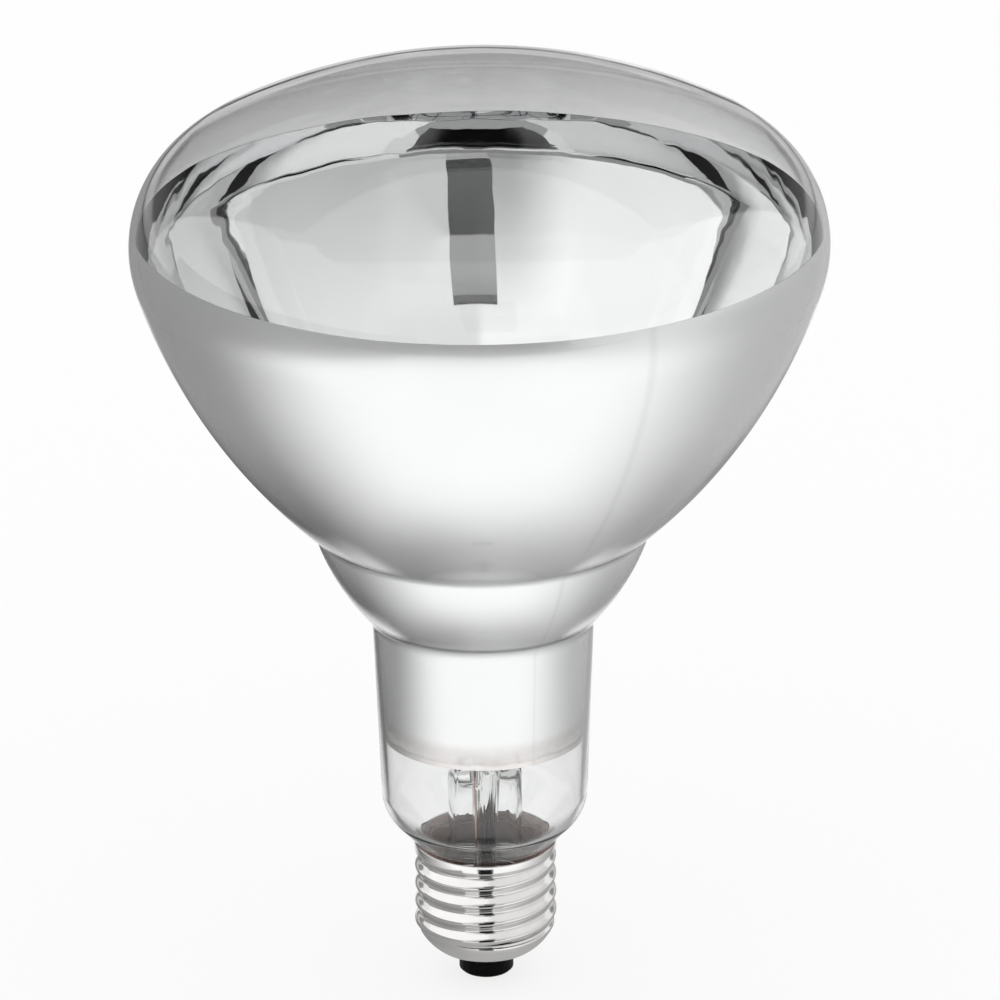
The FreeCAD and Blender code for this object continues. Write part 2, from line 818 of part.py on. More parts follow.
def insulator():
    """Black glass that fills the shell's foot and stands out below it as a nub."""
    body = new_body("insulator")
    seat = s.shell_wall_thickness + s.fit_clearance
    nub_foot = s.solder_height + s.plate_thickness
    revolve(body, [
        (s.wire_hole_radius, nub_foot, None),
        (s.nub_radius - s.nub_chamfer_width, nub_foot, None),
        (s.nub_radius, nub_foot + s.nub_chamfer_width, None),
        (s.nub_radius, s.nub_height, None),
        (*foot_point(lip_corner, seat), (s.foot_curve_radius - seat, -1)),
        (*foot_point(turn_corner, seat), None),
        (s.wire_hole_radius, foot_point(turn_corner, seat)[1], None),
    ])
    return body


def contact_plate():
    body = new_body("contact_plate")
    top = s.solder_height + s.plate_thickness
    hole = s.outer_lead_radius + s.fit_clearance
    revolve(body, [
        (hole, s.solder_height, None),
        (s.plate_radius - s.plate_edge_radius, s.solder_height, (s.plate_edge_radius, -1)),
        (s.plate_radius, s.solder_height + s.plate_edge_radius, None),
        (s.plate_radius, top, None),
        (hole, top, None),
    ])
    return body


def contact_solder():
    body = new_body("contact_solder")
    revolve(body, [
        (0, 0, None),
        (s.solder_flat_radius, 0, (s.solder_radius, -1)),
        (s.solder_radius, s.solder_height, None),
        (0, s.solder_height, None),
    ])
    return body


def basing_cement():
    """Ring of cement between the neck's glass and the shell, slotted for the side lead."""
    body = new_body("basing_cement")
    gap = s.fit_clearance
    cone_gap = gap * s.shoulder_radius / shoulder_run
    cone_top = seat_radius + (cement_top - seat_top) / cone_slope + cone_gap
    revolve(body, [
        (seat_radius + gap, cement_low, None),
        (shell_bore - gap, cement_low, None),
        (shell_bore - gap, land_top, None),
        (collar_bore - gap, collar_low, None),
        (collar_bore - gap, cement_top, None),
        (cone_top, cement_top, None),
        (seat_radius + gap, seat_top - gap, None),
    ])
    slot = new_sketch(body, "lead_slot", "XZ_Plane")
    draw(slot, [
        (seat_radius, cement_low, None),
        (collar_radius, cement_low, None),
        (collar_radius, cement_top, None),
        (seat_radius, cement_top, None),
    ])
    cut_away(body, slot, (s.outer_lead_radius + s.fit_clearance) * 2, midplane=True)
    turn(body, s.mount_angle)
    return body


sub_parts = [
    glass_envelope(),
    mirror_coating(),
    stem(),
    exhaust_tube(),
    glass_post(),
    filament(),
    inner_lead("a", 1),
    inner_lead("b", -1),
    seal_wire("a", 1),
    seal_wire("b", -1),
    outer_lead_side(),
    outer_lead_centre(),
    screw_shell(),
    insulator(),
    contact_plate(),
    contact_solder(),
    basing_cement(),
]
sub_parts += [filament_hook(number) for number in range(hook_count)]

doc.recompute()
for thing in doc.Objects:
    if "Invalid" in thing.State or "Error" in thing.State:
        raise RuntimeError(f"{thing.Label} has failed: {thing.State}")
for piece in sub_parts:
    if piece.Shape.isNull() or not piece.Shape.isValid():
        raise RuntimeError(f"{piece.Label} has no valid shape")

os.makedirs("parts", exist_ok=True)
for piece in sub_parts:
    piece.Shape.exportStep(f"parts/{piece.Label}.step")
    print(f"{piece.Label}: {len(piece.Shape.Solids)} solid, {piece.Shape.Volume:.1f} mm3")
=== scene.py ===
import json
import math
import bpy
from mathutils import Matrix


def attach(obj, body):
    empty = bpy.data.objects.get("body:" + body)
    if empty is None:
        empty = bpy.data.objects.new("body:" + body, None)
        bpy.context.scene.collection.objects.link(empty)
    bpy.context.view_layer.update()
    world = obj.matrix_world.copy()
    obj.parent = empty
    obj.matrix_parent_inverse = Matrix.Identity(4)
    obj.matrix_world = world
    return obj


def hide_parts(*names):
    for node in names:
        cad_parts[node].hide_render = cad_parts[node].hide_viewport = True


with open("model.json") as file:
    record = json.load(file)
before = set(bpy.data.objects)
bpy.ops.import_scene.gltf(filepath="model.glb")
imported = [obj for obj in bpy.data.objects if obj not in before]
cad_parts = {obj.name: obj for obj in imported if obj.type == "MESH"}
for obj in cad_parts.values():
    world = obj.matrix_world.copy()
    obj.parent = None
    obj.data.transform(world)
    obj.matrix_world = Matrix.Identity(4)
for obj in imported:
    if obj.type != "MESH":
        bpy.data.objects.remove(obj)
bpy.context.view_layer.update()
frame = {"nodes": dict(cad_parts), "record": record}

nodes = frame["nodes"]
scene = bpy.context.scene
scene.view_settings.view_transform = "Standard"
print("CAD nodes loaded:", len(nodes))


# shader maths: one wrapped socket, so that masks are written as plain expressions

class Wire:
    def __init__(self, tree, socket=None):
        self.tree = tree
        self.socket = socket

    def node(self, kind, settings=None, inputs=None, output=0):
        made = self.tree.nodes.new(kind)
        for name, value in (settings or {}).items():
            setattr(made, name, value)
        for name, value in (inputs or {}).items():
            if isinstance(value, Wire):
                self.tree.links.new(value.socket, made.inputs[name])
            else:
                made.inputs[name].default_value = value
        return Wire(self.tree, made.outputs[output])

    def sum(self, operation, first, second):
        return self.node("ShaderNodeMath", {"operation": operation}, {0: first, 1: second})

    def __add__(self, other):
        return self.sum("ADD", self, other)

    def __radd__(self, other):
        return self.sum("ADD", other, self)

    def __sub__(self, other):
        return self.sum("SUBTRACT", self, other)

    def __rsub__(self, other):
        return self.sum("SUBTRACT", other, self)

    def __mul__(self, other):
        return self.sum("MULTIPLY", self, other)

    def __rmul__(self, other):
        return self.sum("MULTIPLY", other, self)

    def most(self, other):
        return self.sum("MAXIMUM", self, other)

    def size(self):
        return self.sum("ABSOLUTE", self, 0)

    def between(self, low, high):  # 0 below low, 1 above high, smooth between them
        settings = {"interpolation_type": "SMOOTHSTEP"}
        inputs = {"Value": self, "From Min": low, "From Max": high}
        return self.node("ShaderNodeMapRange", settings, inputs)

    def under(self, low, high):  # the reverse: 1 below low, 0 above high
        return 1 - self.between(low, high)


def newFinish(name, **values):
    finish = bpy.data.materials.new(name)
    finish.use_nodes = True
    shader = finish.node_tree.nodes["Principled BSDF"]
    for socket, value in values.items():
        shader.inputs[socket.replace("_", " ")].default_value = value
    return finish, shader, Wire(finish.node_tree)


def place(wire):
    return wire.node("ShaderNodeTexCoord", output="Object")


def along(wire, axis):
    return wire.node("ShaderNodeSeparateXYZ", inputs={"Vector": place(wire)}, output=axis)


def noise(wire, scale, detail=3.0, stretch=(1, 1, 1)):
    spot = wire.node("ShaderNodeMapping", inputs={"Vector": place(wire), "Scale": stretch})
    inputs = {"Vector": spot, "Scale": scale, "Detail": detail}
    return wire.node("ShaderNodeTexNoise", inputs=inputs)


def feed(wire, shader, socket, source):
    wire.tree.links.new(source.socket, shader.inputs[socket])


def feedSurface(wire, source):
    wire.tree.links.new(source.socket, wire.tree.nodes["Material Output"].inputs["Surface"])


def blend(wire, factor, first, second):
    inputs = {0: factor, 6: first, 7: second}
    return wire.node("ShaderNodeMix", {"data_type": "RGBA"}, inputs, output=2)


def shade(tone, share=1):  # a colour with its alpha, darkened by a share
    return tuple(t * share for t in tone) + (1,)


def ripple(wire, shader, source, distance):
    inputs = {"Height": source, "Distance": distance, "Strength": 1.0}
    feed(wire, shader, "Normal", wire.node("ShaderNodeBump", inputs=inputs))


# modelling helpers

mergeDistance = 0.000002


def pickNothing():
    bpy.ops.object.select_all(action="DESELECT")


def drawLine(name, points):  # one vertex, extruded from point to point
    pickNothing()
    bpy.ops.mesh.primitive_plane_add(size=0.001, location=(0, 0, 0))
    piece = bpy.context.object
    piece.name = name
    piece.data.name = name
    bpy.ops.object.mode_set(mode="EDIT")
    bpy.ops.mesh.select_all(action="SELECT")
    bpy.ops.mesh.merge(type="CENTER")
    bpy.ops.transform.translate(value=points[0])
    for before, here in zip(points, points[1:]):
        step = [b - a for a, b in zip(before, here)]
        bpy.ops.mesh.extrude_region_move(TRANSFORM_OT_translate={"value": step})
    return piece


def lathe(name, line, segments):
    piece = drawLine(name, [(x, 0, z) for x, z in line])
    bpy.ops.mesh.select_all(action="SELECT")
    bpy.ops.mesh.spin(steps=segments, angle=2 * math.pi, center=(0, 0, 0), axis=(0, 0, 1))
    bpy.ops.mesh.select_all(action="SELECT")
    bpy.ops.mesh.remove_doubles(threshold=mergeDistance)
    bpy.ops.mesh.normals_make_consistent(inside=False)
    bpy.ops.object.mode_set(mode="OBJECT")
    return piece


def thicken(piece, thickness, innerSlot=0):
    wall = piece.modifiers.new("wall", "SOLIDIFY")
    wall.thickness = thickness
    wall.offset = -1
    wall.use_even_offset = True
    wall.material_offset = innerSlot
    wall.material_offset_rim = innerSlot
    bpy.ops.object.modifier_apply(modifier="wall")


def smooth(piece, angle=40):
    pickNothing()
    piece.select_set(True)
    bpy.context.view_layer.objects.active = piece
    bpy.ops.object.shade_smooth_by_angle(angle=math.radians(angle))


def fit(piece, node, slot, *finishes):
    for finish in finishes:
        piece.data.materials.append(finish)
    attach(piece, "root")
    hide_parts(node)


def copyNode(node, angle=35):  # a merged, smooth copy of a CAD node
    pickNothing()
    nodes[node].select_set(True)
    bpy.context.view_layer.objects.active = nodes[node]
    bpy.ops.object.duplicate()
    piece = bpy.context.object
    piece.name = node + "Smooth"
    for key in [key for key in piece.keys() if key.startswith("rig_")]:
        del piece[key]
    piece.parent = None
    piece.data.materials.clear()
    bpy.ops.object.mode_set(mode="EDIT")
    bpy.ops.mesh.select_all(action="SELECT")
    bpy.ops.mesh.remove_doubles(threshold=mergeDistance)
    bpy.ops.object.mode_set(mode="OBJECT")
    smooth(piece, angle)
    return piece


# the bulb's outline, from the dome's top down to the seat in the cap, in metres

bulb = {
    "domeRadius": 0.111,
    "rimRadius": 0.0205,
    "rimCentre": (0.042, 0.1451),
    "rimLean": 17.6,
    "reflectorRadius": 0.108,
    "stepHeight": 0.0913,
    "bulgeRadius": 0.043,
    "neckTop": (0.0202, 0.0729),
    "neckLow": (0.019, 0.0379),
    "creaseRadius": 0.0045,
    "shoulderRadius": 0.008,
    "shoulderAngle": -42,
    "seat": (0.011, 0.02595),
    "foot": 0.0199,
    "wall": 0.0012,
    "segments": 256,
    "domeSteps": 40,
    "rimSteps": 44,
    "reflectorSteps": 48,
    "upperCreaseSteps": 7,
    "bulgeSteps": 20,
    "lowerCreaseSteps": 8,
    "shoulderSteps": 14,
}


def heading(start, end):
    return math.degrees(math.atan2(end[1] - start[1], end[0] - start[0]))


def arc(centre, radius, start, end, steps):
    angles = [math.radians(start + (end - start) * i / steps) for i in range(steps + 1)]
    return [(centre[0] + radius * math.cos(a), centre[1] + radius * math.sin(a)) for a in angles]


def meet(centre, radius, other, otherRadius):  # the outer crossing of two circles
    apart = math.dist(centre, other)
    run = (radius ** 2 - otherRadius ** 2 + apart ** 2) / (2 * apart)
    aside = math.sqrt(radius ** 2 - run ** 2)
    dx, dz = (other[0] - centre[0]) / apart, (other[1] - centre[1]) / apart
    return centre[0] + dx * run - dz * aside, centre[1] + dz * run + dx * aside


def bulbArcs():
    rimX, rimZ = bulb["rimCentre"]
    lean = math.radians(bulb["rimLean"])
    crease, swell, wide = bulb["creaseRadius"], bulb["bulgeRadius"], bulb["reflectorRadius"]
    reach = bulb["domeRadius"] - bulb["rimRadius"]
    dome = (0, rimZ - math.sqrt(reach ** 2 - rimX ** 2))
    swing = wide - bulb["rimRadius"]
    reflector = (rimX - swing * math.cos(lean), rimZ + swing * math.sin(lean))
    fall = reflector[1] - bulb["stepHeight"]
    step = (reflector[0] + math.sqrt(wide ** 2 - fall ** 2), bulb["stepHeight"])
    low = bulb["neckTop"]
    chord = math.dist(step, low)
    stand = math.sqrt(swell ** 2 - chord ** 2 / 4)
    dx, dz = (low[0] - step[0]) / chord, (low[1] - step[1]) / chord
    bulge = ((step[0] + low[0]) / 2 + dz * stand, (step[1] + low[1]) / 2 - dx * stand)
    upper = meet(reflector, wide + crease, bulge, swell + crease)
    lowerX = low[0] + crease
    drop = math.sqrt((swell + crease) ** 2 - (lowerX - bulge[0]) ** 2)
    lower = (lowerX, bulge[1] - drop)
    shoulder = (bulb["neckLow"][0] - bulb["shoulderRadius"], bulb["neckLow"][1])
    domeEnd = heading(dome, bulb["rimCentre"])
    turns = {
        "dome": (dome, bulb["domeRadius"], 90, domeEnd),
        "rim": (bulb["rimCentre"], bulb["rimRadius"], domeEnd, -bulb["rimLean"]),
        "reflector": (reflector, wide, -bulb["rimLean"], heading(reflector, upper)),
        "upperCrease": (upper, -crease, heading(upper, reflector), heading(upper, bulge)),
        "bulge": (bulge, swell, heading(bulge, upper), heading(bulge, lower)),
        "lowerCrease": (lower, -crease, heading(lower, bulge), 180),
        "shoulder": (shoulder, bulb["shoulderRadius"], 0, bulb["shoulderAngle"]),
    }
    return {name: (*turn, bulb[name + "Steps"]) for name, turn in turns.items()}


def bulbLine(inset, *names):  # hollow creases widen as the line moves inwards
    arcs = bulbArcs()
    line = []
    for name in names:
        centre, radius, start, end, steps = arcs[name]
        points = arc(centre, abs(radius - inset), start, end, steps)
        joined = line and math.dist(line[-1], points[0]) < mergeDistance / 2
        line += points[1:] if joined else points
    return line


# clear glass, with the faint waviness of blown work

def glassFinish(name, tint, wave, scale, bend=1.47, detail=1.5, stretch=(1, 1, 0.6)):
    finish, shader, wire = newFinish(
        name, Base_Color=shade(tint), Roughness=0.0, IOR=bend, Transmission_Weight=1.0)
    ripple(wire, shader, noise(wire, scale, detail, stretch), wave)
    return finish


cling = {
    "top": (0.0262, 0.0274),
    "tone": (0.9, 0.68, 0.62),
    "darkShare": 0.8,
    "roughness": 0.8,
    "grainScale": 500,
    "grainDetail": 3,
    "edgeGrain": 0.0008,
}


def clingingCement(finish):  # cement on the seat's glass, up to the mouth of the cap
    wire = Wire(finish.node_tree)
    glass = finish.node_tree.nodes["Principled BSDF"]
    cement = finish.node_tree.nodes.new("ShaderNodeBsdfPrincipled")
    cement.inputs["Roughness"].default_value = cling["roughness"]
    grain = noise(wire, cling["grainScale"], cling["grainDetail"])
    dark = shade(cling["tone"], cling["darkShare"])
    feed(wire, cement, "Base Color", blend(wire, grain, shade(cling["tone"]), dark))
    low = (along(wire, "Z") + grain * cling["edgeGrain"]).under(*cling["top"])
    feedSurface(wire, wire.node("ShaderNodeMixShader", inputs={
        0: low,
        1: Wire(wire.tree, glass.outputs[0]),
        2: Wire(wire.tree, cement.outputs[0]),
    }))


clearGlass = glassFinish("clearGlass", (0.96, 0.966, 0.962), 0.00006, 45)
clingingCement(clearGlass)
bends = ("reflector", "upperCrease", "bulge", "lowerCrease")
outline = bulbLine(0, "dome", "rim", *bends, "shoulder")
outline += [bulb["seat"], (bulb["seat"][0], bulb["foot"])]
bulbGlass = lathe("bulbGlass", outline, bulb["segments"])
thicken(bulbGlass, bulb["wall"])
smooth(bulbGlass)
fit(bulbGlass, "glass_envelope", "clear_glass", clearGlass)
print("bulb blown:", len(bulbGlass.data.polygons), "faces")


# the mirror film: satin where it is seen through the glass, bright on the inside

mirror = {
    "gap": 0.00125,
    "thickness": 0.0001,
    "top": 0.1491,
    "low": 0.0498,
    "topSteps": 16,
    "satinTone": (0.985, 0.985, 0.987),
    "satinShare": 0.985,
    "satinRoughness": 0.32,
    "roughnessSpread": 0.05,
    "cloudScale": 60,
    "cloudDetail": 4,
    "brightTone": (0.9, 0.9, 0.905),
    "brightHaze": 0.04,
    "hazeScale": 90,
    "waveScale": 60,
    "waveStretch": (1, 1, 0.5),
    "waveDepth": 0.00004,
    "unevenReach": 0.03,
    "unevenScale": 150,
    "unevenDepth": 2.5,
    # heights above the film's lower edge
    "fade": (0.001, 0.006),
    "edgeLine": (0.0012, 0.002),
    "blush": (0.002, 0.006),
    "leastCover": 0.5,
    "edgeGrain": 0.001,
    "edgeGrainScale": 300,
    "blushTone": (0.75, 0.6, 0.56),
    "blushScale": 400,
    "blushStrength": 0.6,
    "seamHeading": 28.5,
    "seamWidth": (0.002, 0.022),
    "seamStrength": 0.07,
}


def aboveLow(span):
    return [mirror["low"] + step for step in mirror[span]]


def filmCover(wire):  # the film thins out towards its lower edge, which is a bright line
    z = along(wire, "Z") + noise(wire, mirror["edgeGrainScale"], 2) * mirror["edgeGrain"]
    cover = z.between(*aboveLow("fade")).most(z.under(*aboveLow("edgeLine")))
    return mirror["leastCover"] + cover * (1 - mirror["leastCover"])


def satinFinish():
    finish, shader, wire = newFinish("satinFilm", Metallic=1.0)
    cloud = noise(wire, mirror["cloudScale"], mirror["cloudDetail"])
    dim = shade(mirror["satinTone"], mirror["satinShare"])
    tone = blend(wire, cloud, shade(mirror["satinTone"]), dim)
    blush = along(wire, "Z").under(*aboveLow("blush")) * noise(wire, mirror["blushScale"], 2)
    tone = blend(wire, blush * mirror["blushStrength"], tone, shade(mirror["blushTone"]))
    turn = wire.sum("ARCTAN2", along(wire, "X"), 0 - along(wire, "Y"))
    seam = (turn - math.radians(mirror["seamHeading"])).size().under(*mirror["seamWidth"])
    tone = blend(wire, seam * mirror["seamStrength"], tone, (0, 0, 0, 1))
    feed(wire, shader, "Base Color", tone)
    spread = (cloud - 0.5) * mirror["roughnessSpread"]
    feed(wire, shader, "Roughness", mirror["satinRoughness"] + spread)
    feed(wire, shader, "Alpha", filmCover(wire))
    return finish


def brightFinish():  # the film is less even near the rim
    tone = shade(mirror["brightTone"])
    finish, shader, wire = newFinish("brightFilm", Metallic=1.0, Base_Color=tone)
    feed(wire, shader, "Roughness", noise(wire, mirror["hazeScale"]) * mirror["brightHaze"])
    feed(wire, shader, "Alpha", filmCover(wire))
    nearRim = along(wire, "Z").between(mirror["top"] - mirror["unevenReach"], mirror["top"])
    uneven = nearRim * noise(wire, mirror["unevenScale"], 1) * mirror["unevenDepth"]
    wave = noise(wire, mirror["waveScale"], 1, mirror["waveStretch"])
    ripple(wire, shader, wave + uneven, mirror["waveDepth"])
    return finish


innerRim = bulb["rimRadius"] - mirror["gap"]
filmTop = math.degrees(math.asin((mirror["top"] - bulb["rimCentre"][1]) / innerRim))
film = arc(bulb["rimCentre"], innerRim, filmTop, -bulb["rimLean"], mirror["topSteps"])
film += bulbLine(mirror["gap"], *bends)[1:]
(topX, topZ), (lowX, lowZ) = bulb["neckTop"], bulb["neckLow"]
taper = (topX - lowX) / (topZ - lowZ)
film.append((lowX + (mirror["low"] - lowZ) * taper - mirror["gap"], mirror["low"]))
mirrorFilm = lathe("mirrorFilm", film, bulb["segments"])
mirrorFilm.data.materials.append(satinFinish())
mirrorFilm.data.materials.append(brightFinish())
thicken(mirrorFilm, mirror["thickness"], innerSlot=1)
smooth(mirrorFilm)
fit(mirrorFilm, "mirror_coating", "reflector")
print("mirror laid:", len(mirrorFilm.data.polygons), "faces")


# all but the shell and the filament keep the CAD shape, as merged smooth copies

def metalFinish(name, tone, roughness, spots, spread=0.05, darkShare=0.85):
    finish, shader, wire = newFinish(name, Metallic=1.0)
    cloud = noise(wire, spots, 4)
    feed(wire, shader, "Base Color", blend(wire, cloud, shade(tone), shade(tone, darkShare)))
    feed(wire, shader, "Roughness", roughness + (cloud - 0.5) * spread)
    return finish


def dullFinish(name, tone, roughness, spots, darkShare, gloss=0.5, spread=0.1, depth=0.0001):
    finish, shader, wire = newFinish(name, Specular_IOR_Level=gloss)
    cloud = noise(wire, spots, 5)
    feed(wire, shader, "Base Color", blend(wire, cloud, shade(tone), shade(tone, darkShare)))
    feed(wire, shader, "Roughness", roughness + (cloud - 0.5) * spread)
    ripple(wire, shader, cloud, depth)
    return finish


tungsten = metalFinish("tungsten", (0.3, 0.3, 0.32), 0.45, 900)
capMetal = metalFinish("capMetal", (0.86, 0.85, 0.84), 0.12, 260, 0.06)
finishes = {
    "stem_glass": glassFinish("stemGlass", (0.99, 0.992, 0.99), 0.00004, 120, 1.2),
    "molybdenum": metalFinish("molybdenum", (0.45, 0.45, 0.47), 0.35, 700),
    "nickel_wire": metalFinish("nickelWire", (0.62, 0.6, 0.56), 0.3, 600),
    "seal_wire": metalFinish("sealWire", (0.58, 0.28, 0.2), 0.4, 500),
    "copper_wire": metalFinish("copperWire", (0.78, 0.45, 0.32), 0.3, 500),
    "black_glass": dullFinish("blackGlass", (0.003, 0.003, 0.0035), 0.35, 300, 1.8, 0.03),
    "contact_brass": metalFinish("contactBrass", (0.74, 0.6, 0.36), 0.32, 400),
    "solder": metalFinish("solderTin", (0.6, 0.6, 0.62), 0.38, 500),
    "cement": dullFinish("cementBrown", (0.95, 0.72, 0.66), 0.85, 700, 0.75),
}
for subpart in frame["record"]["subparts"]:
    if subpart["material_slot"] in finishes:
        copied = copyNode(subpart["node"])
        slot = subpart["material_slot"]
        fit(copied, subpart["node"], slot, finishes[slot])


# the screw shell: rings pulled up one by one, whose centres walk round the axis
# to make the round thread

shell = {
    "lip": (0.008, 0.0055),
    "turn": (0.01275, 0.0105),
    "footCurve": 0.009,
    "footSteps": 18,
    "midRadius": 0.0126,
    "settleTop": 0.0118,
    "waveDepth": 0.00055,
    "pitch": 0.003629,
    "crestStart": 0.0101,
    "crestAngle": 55,
    "waveFoot": (0.0094, 0.0112),
    "waveTop": (0.025, 0.0264),
    "collarRadius": 0.0132,
    "top": 0.0277,
    "edge": 0.00012,
    "edgeCut": 0.3,
    "wall": 0.0003,
    "segments": 160,
    "stepsPerPitch": 22,
    "smoothAngle": 50,
}


def ramp(value, span):
    share = min(max((value - span[0]) / (span[1] - span[0]), 0), 1)
    return share * share * (3 - 2 * share)


def bow(start, end, radius, steps):  # arc between two points, hollow side towards the axis
    chord = math.dist(start, end)
    dx, dz = (end[0] - start[0]) / chord, (end[1] - start[1]) / chord
    stand = math.sqrt(radius ** 2 - chord ** 2 / 4)
    centre = ((start[0] + end[0]) / 2 - dz * stand, (start[1] + end[1]) / 2 + dx * stand)
    return arc(centre, radius, heading(centre, start), heading(centre, end), steps)


def shellRings():
    rings = bow(shell["lip"], shell["turn"], shell["footCurve"], shell["footSteps"])
    turnRadius, level = shell["turn"]
    settleSpan = (level, shell["settleTop"])
    middle, collar = shell["midRadius"], shell["collarRadius"]
    while level < shell["waveTop"][1]:
        level += shell["pitch"] / shell["stepsPerPitch"]
        radius = turnRadius + (middle - turnRadius) * ramp(level, settleSpan)
        rings.append((radius + (collar - middle) * ramp(level, shell["waveTop"]), level))
    edge = shell["edge"]
    cut = edge * shell["edgeCut"]
    rings.append((collar, shell["top"] - edge))
    rings.append((collar - cut, shell["top"] - cut))
    rings.append((collar - edge, shell["top"]))
    return rings


def waveCentre(level):
    swing = ramp(level, shell["waveFoot"]) * (1 - ramp(level, shell["waveTop"]))
    swing *= shell["waveDepth"]
    turns = (level - shell["crestStart"]) / shell["pitch"]
    angle = math.radians(shell["crestAngle"] + 360 * turns)
    return swing * math.cos(angle), swing * math.sin(angle)


rings = shellRings()
pickNothing()
bpy.ops.mesh.primitive_circle_add(
    vertices=shell["segments"], radius=rings[0][0], location=(0, 0, 0))
screwShell = bpy.context.object
screwShell.name = "screwShell"
bpy.ops.object.mode_set(mode="EDIT")
bpy.ops.mesh.select_all(action="SELECT")
bpy.ops.transform.translate(value=(0, 0, rings[0][1]))
for (oldRadius, oldLevel), (radius, level) in zip(rings, rings[1:]):
    oldX, oldY = waveCentre(oldLevel)
    newX, newY = waveCentre(level)
    step = (newX - oldX, newY - oldY, level - oldLevel)
    bpy.ops.mesh.extrude_region_move(TRANSFORM_OT_translate={"value": step})
    grow = radius / oldRadius
    bpy.ops.transform.resize(value=(grow, grow, 1), center_override=(newX, newY, level))
bpy.ops.mesh.select_all(action="SELECT")
bpy.ops.mesh.normals_make_consistent(inside=False)
bpy.ops.object.mode_set(mode="OBJECT")
thicken(screwShell, shell["wall"])
smooth(screwShell, shell["smoothAngle"])
fit(screwShell, "screw_shell", "cap_metal", capMetal)
print("shell rolled:", len(screwShell.data.polygons), "faces")


# the filament: a coiled wire bent into an open ring

coil = {
    "ringRadius": 0.012,
    "ringHeight": 0.0959,
    "gapWidth": 0.011,
    "gapHeading": 152,
    "radius": 0.00055,
    "wire": 0.00013,
    "wireSides": 7,
    "turns": 96,
    "stepsPerTurn": 14,
}
sweep = 2 * math.pi - 2 * math.asin(coil["gapWidth"] / 2 / coil["ringRadius"])
length = sweep * coil["ringRadius"]
pickNothing()
bpy.ops.mesh.primitive_circle_add(
    vertices=coil["wireSides"], radius=coil["wire"], location=(0, 0, 0))
filament = bpy.context.object
filament.name = "coiledFilament"
bpy.ops.object.mode_set(mode="EDIT")
bpy.ops.mesh.select_all(action="SELECT")
bpy.ops.transform.rotate(value=math.pi / 2, orient_axis="Z", center_override=(0, 0, 0))
bpy.ops.transform.translate(value=(-length / 2, coil["radius"] - coil["wire"], 0))
bpy.ops.object.mode_set(mode="OBJECT")
winding = filament.modifiers.new("winding", "SCREW")
winding.axis = "X"
winding.screw_offset = length / coil["turns"]
winding.iterations = coil["turns"]
winding.steps = coil["stepsPerTurn"]
winding.render_steps = coil["stepsPerTurn"]
bpy.ops.object.modifier_apply(modifier="winding")
bending = filament.modifiers.new("bending", "SIMPLE_DEFORM")
bending.deform_method = "BEND"
bending.deform_axis = "Z"
bending.angle = sweep
bpy.ops.object.modifier_apply(modifier="bending")
bpy.ops.object.mode_set(mode="EDIT")
bpy.ops.mesh.select_all(action="SELECT")
bpy.ops.transform.translate(value=(0, -coil["ringRadius"], coil["ringHeight"]))
turned = math.radians(coil["gapHeading"] - 90)
bpy.ops.transform.rotate(value=-turned, orient_axis="Z", center_override=(0, 0, 0))
bpy.ops.mesh.normals_make_consistent(inside=False)
bpy.ops.object.mode_set(mode="OBJECT")
smooth(filament)
fit(filament, "filament", "tungsten", tungsten)
print("filament wound:", len(filament.data.polygons), "faces")


# stage: a white floor, and cards that only glass and metal see

def lightFinish(name):
    finish = bpy.data.materials.new(name)
    finish.use_nodes = True
    tree = finish.node_tree
    tree.nodes.clear()
    light = tree.nodes.new("ShaderNodeEmission")
    out = tree.nodes.new("ShaderNodeOutputMaterial")
    tree.links.new(light.outputs[0], out.inputs["Surface"])
    return finish, light, Wire(tree)


def card(name, edge, move, tone, seenThrough=True):  # a line pulled into a sheet
    piece = drawLine(name, edge)
    bpy.ops.mesh.select_all(action="SELECT")
    bpy.ops.mesh.extrude_region_move(TRANSFORM_OT_translate={"value": move})
    bpy.ops.object.mode_set(mode="OBJECT")
    finish, light, wire = lightFinish(name)
    feed(wire, light, "Color", tone(wire))
    piece.data.materials.append(finish)
    piece.visible_camera = False
    piece.visible_shadow = False
    piece.visible_diffuse = False
    piece.visible_transmission = seenThrough


def wallCard(name, values, tone):
    ring = arc((0, 0), values["distance"], *values["headings"], values["steps"])
    card(name, [(x, y, 0) for x, y in ring], (0, 0, values["top"]), tone)


def flatCard(name, values, tone):
    (left, right), (near, far), z = values["xs"], values["ys"], values["height"]
    card(name, [(left, near, z), (right, near, z)], (0, far - near, 0), tone)


# front wall: two bright windows, a dark post between them and the table's edge below

front = {
    "distance": 1.6,
    "headings": (-205, 25),
    "steps": 40,
    "top": 2.83,
    # both windows and the post change tone at a line that sags to the sides
    "line": (1.09, 1.11),
    "lineSag": 0.14,
    "lineBlur": 0.6,
    "blurSpan": (0.3, 0.9),
    "split": (-0.1, 0.1),
    "rightTone": 0.66,
    "rightLift": 0.26,
    "leftTone": 1.15,
    "leftLift": 0.03,
    "shade": 0.7,
    "shadeSpan": (-1.1, -0.25),
    "shadeRise": (0.3, 2.2),
    "postLeft": (-0.047, -0.037),
    "postLeftLean": 0.12,
    "postRight": (0.28, 0.29),
    "postRightLean": 0.05,
    "postTop": (1.67, 1.69),
    "postFoot": (0.55, 0.58),
    "postFootTone": 0.5,
    "postDrop": 0.48,
    "postLift": 0.34,
    "postFade": (1.35, 1.57),
    "postFadeDrop": 0.08,
    "postCap": (1.57, 1.59),
    "postCapDrop": 0.2,
    "tableTop": (0.37, 0.39),
    "tableTone": 0.28,
    "tableLeft": (-0.62, -0.6),
    "tableRight": (0.74, 0.76),
    "roomTone": 0.35,
    "roomLift": 0.5,
    "roomSpan": (-0.2, 0.2),
}


